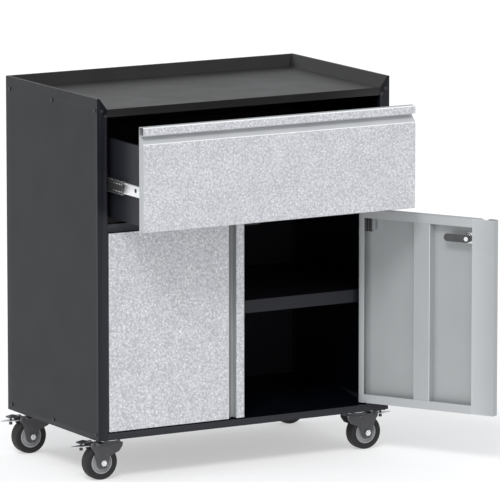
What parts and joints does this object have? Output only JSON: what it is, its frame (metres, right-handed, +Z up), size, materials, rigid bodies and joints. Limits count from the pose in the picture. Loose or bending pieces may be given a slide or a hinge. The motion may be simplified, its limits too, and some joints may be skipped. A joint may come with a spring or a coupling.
{
  "type": "rolling tool cabinet",
  "caption": "Rolling steel tool cabinet with a rimmed worktop, a wide drawer on ball-bearing slides, hinged doors over a shelf, and swivel casters with brakes.",
  "frame": {"origin": "on the floor under the middle of the case, half way across its width and its depth", "axes": "+X to the right of someone facing the doors, +Y to the back, +Z up"},
  "size_m": [0.8798, 0.6796, 0.83],
  "materials": {
    "graphite_powder_coat": "fine-textured satin powder coat",
    "silver_hammer_coat": "silver hammer-finish powder coat",
    "silver_powder_coat": "smooth silver-grey powder coat",
    "zinc_plate": "bright zinc plate",
    "black_hardware": "black oxide",
    "black_plastic": "moulded black",
    "fork_paint": "grey satin paint",
    "bright_chrome": "polished",
    "hub_plastic": "moulded grey",
    "tyre_rubber": "matt black rubber",
    "pedal_paint": "black satin paint"
  },
  "bodies": {
    "cabinet": {"back_panel": "graphite_powder_coat", "bottom_panel": "graphite_powder_coat", "caster_bolts": "zinc_plate", "front_left_caster_plate": "zinc_plate", "front_right_caster_plate": "zinc_plate", "left_caster_rail": "graphite_powder_coat", "left_side_panel": "graphite_powder_coat", "left_slide_bracket": "zinc_plate", "left_slide_outer": "zinc_plate", "magnet_catches": "black_plastic", "middle_rail": "graphite_powder_coat", "panel_screws": "black_hardware", "rear_left_caster_plate": "zinc_plate", "rear_right_caster_plate": "zinc_plate", "right_caster_rail": "graphite_powder_coat", "right_side_panel": "graphite_powder_coat", "right_slide_bracket": "zinc_plate", "right_slide_outer": "zinc_plate", "shelf": "graphite_powder_coat", "shelf_clips": "zinc_plate", "worktop": "graphite_powder_coat"},
    "drawer": {"drawer_front": "silver_hammer_coat", "drawer_tub": "graphite_powder_coat", "left_slide_inner": "zinc_plate", "right_slide_inner": "zinc_plate"},
    "left_slide_carriage": {"left_slide_middle": "zinc_plate"},
    "right_slide_carriage": {"right_slide_middle": "zinc_plate"},
    "left_door": {"left_door_panel": "silver_hammer_coat", "left_door_stiffener": "silver_powder_coat", "left_door_pivots": "black_hardware"},
    "right_door": {"right_door_panel": "silver_hammer_coat", "right_door_stiffener": "silver_powder_coat", "right_door_pivots": "black_hardware", "lock_barrel": "bright_chrome"},
    "lock": {"lock_plug": "bright_chrome", "lock_cam": "fork_paint"},
    "front_left_swivel": {"front_left_fork": "fork_paint", "front_left_axle": "bright_chrome"},
    "front_left_wheel": {"front_left_hub": "hub_plastic", "front_left_tyre": "tyre_rubber"},
    "front_left_brake": {"front_left_pedal": "pedal_paint", "front_left_brake_plate": "zinc_plate"},
    "front_right_swivel": {"front_right_fork": "fork_paint", "front_right_axle": "bright_chrome"},
    "front_right_wheel": {"front_right_hub": "hub_plastic", "front_right_tyre": "tyre_rubber"},
    "front_right_brake": {"front_right_pedal": "pedal_paint", "front_right_brake_plate": "zinc_plate"},
    "rear_left_swivel": {"rear_left_fork": "fork_paint", "rear_left_axle": "bright_chrome"},
    "rear_left_wheel": {"rear_left_hub": "hub_plastic", "rear_left_tyre": "tyre_rubber"},
    "rear_left_brake": {"rear_left_pedal": "pedal_paint", "rear_left_brake_plate": "zinc_plate"},
    "rear_right_swivel": {"rear_right_fork": "fork_paint", "rear_right_axle": "bright_chrome"},
    "rear_right_wheel": {"rear_right_hub": "hub_plastic", "rear_right_tyre": "tyre_rubber"},
    "rear_right_brake": {"rear_right_pedal": "pedal_paint", "rear_right_brake_plate": "zinc_plate"}
  },
  "joints": [
    {"name": "drawer_slide", "type": "slide", "parent": "cabinet", "child": "drawer", "axis": [0, -1, 0], "range_m": [-0.153, 0.197]},
    {"name": "left_slide_travel", "type": "slide", "parent": "cabinet", "child": "left_slide_carriage", "axis": [0, -1, 0], "range_m": [-0.0765, 0.0985]},
    {"name": "right_slide_travel", "type": "slide", "parent": "cabinet", "child": "right_slide_carriage", "axis": [0, -1, 0], "range_m": [-0.0765, 0.0985]},
    {"name": "left_door_hinge", "type": "hinge", "parent": "cabinet", "child": "left_door", "pos_m": [-0.314, -0.198, 0.326], "axis": [0, 0, -1], "range_deg": [0, 130]},
    {"name": "right_door_hinge", "type": "hinge", "parent": "cabinet", "child": "right_door", "pos_m": [0.314, -0.198, 0.326], "axis": [0, 0, 1], "range_deg": [-120.5, 9.5]},
    {"name": "lock_turn", "type": "hinge", "parent": "right_door", "child": "lock", "pos_m": [0.43067, -0.41478, 0.4955], "axis": [0.8616, 0.5075, 0], "range_deg": [0, 90]},
    {"name": "front_left_swivel_turn", "type": "hinge", "parent": "cabinet", "child": "front_left_swivel", "pos_m": [-0.307, -0.153, 0.08], "axis": [0, 0, 1], "continuous": true},
    {"name": "front_left_wheel_spin", "type": "hinge", "parent": "front_left_swivel", "child": "front_left_wheel", "pos_m": [-0.329, -0.153, 0.038], "axis": [0, 1, 0], "continuous": true},
    {"name": "front_left_brake_press", "type": "hinge", "parent": "front_left_swivel", "child": "front_left_brake", "pos_m": [-0.349, -0.153, 0.0792], "axis": [0, -1, 0], "range_deg": [0, 10]},
    {"name": "front_right_swivel_turn", "type": "hinge", "parent": "cabinet", "child": "front_right_swivel", "pos_m": [0.307, -0.153, 0.08], "axis": [0, 0, 1], "continuous": true},
    {"name": "front_right_wheel_spin", "type": "hinge", "parent": "front_right_swivel", "child": "front_right_wheel", "pos_m": [0.329, -0.153, 0.038], "axis": [0, 1, 0], "continuous": true},
    {"name": "front_right_brake_press", "type": "hinge", "parent": "front_right_swivel", "child": "front_right_brake", "pos_m": [0.349, -0.153, 0.0792], "axis": [0, 1, 0], "range_deg": [0, 10]},
    {"name": "rear_left_swivel_turn", "type": "hinge", "parent": "cabinet", "child": "rear_left_swivel", "pos_m": [-0.307, 0.171, 0.08], "axis": [0, 0, 1], "continuous": true},
    {"name": "rear_left_wheel_spin", "type": "hinge", "parent": "rear_left_swivel", "child": "rear_left_wheel", "pos_m": [-0.329, 0.171, 0.038], "axis": [0, 1, 0], "continuous": true},
    {"name": "rear_left_brake_press", "type": "hinge", "parent": "rear_left_swivel", "child": "rear_left_brake", "pos_m": [-0.349, 0.171, 0.0792], "axis": [0, -1, 0], "range_deg": [0, 10]},
    {"name": "rear_right_swivel_turn", "type": "hinge", "parent": "cabinet", "child": "rear_right_swivel", "pos_m": [0.307, 0.171, 0.08], "axis": [0, 0, 1], "continuous": true},
    {"name": "rear_right_wheel_spin", "type": "hinge", "parent": "rear_right_swivel", "child": "rear_right_wheel", "pos_m": [0.329, 0.171, 0.038], "axis": [0, 1, 0], "continuous": true},
    {"name": "rear_right_brake_press", "type": "hinge", "parent": "rear_right_swivel", "child": "rear_right_brake", "pos_m": [0.349, 0.171, 0.0792], "axis": [0, 1, 0], "range_deg": [0, 10]}
  ],
  "couplings": [
    {"joint": "left_slide_travel", "follows": "drawer_slide", "ratio": 0.5},
    {"joint": "right_slide_travel", "follows": "drawer_slide", "ratio": 0.5}
  ]
}
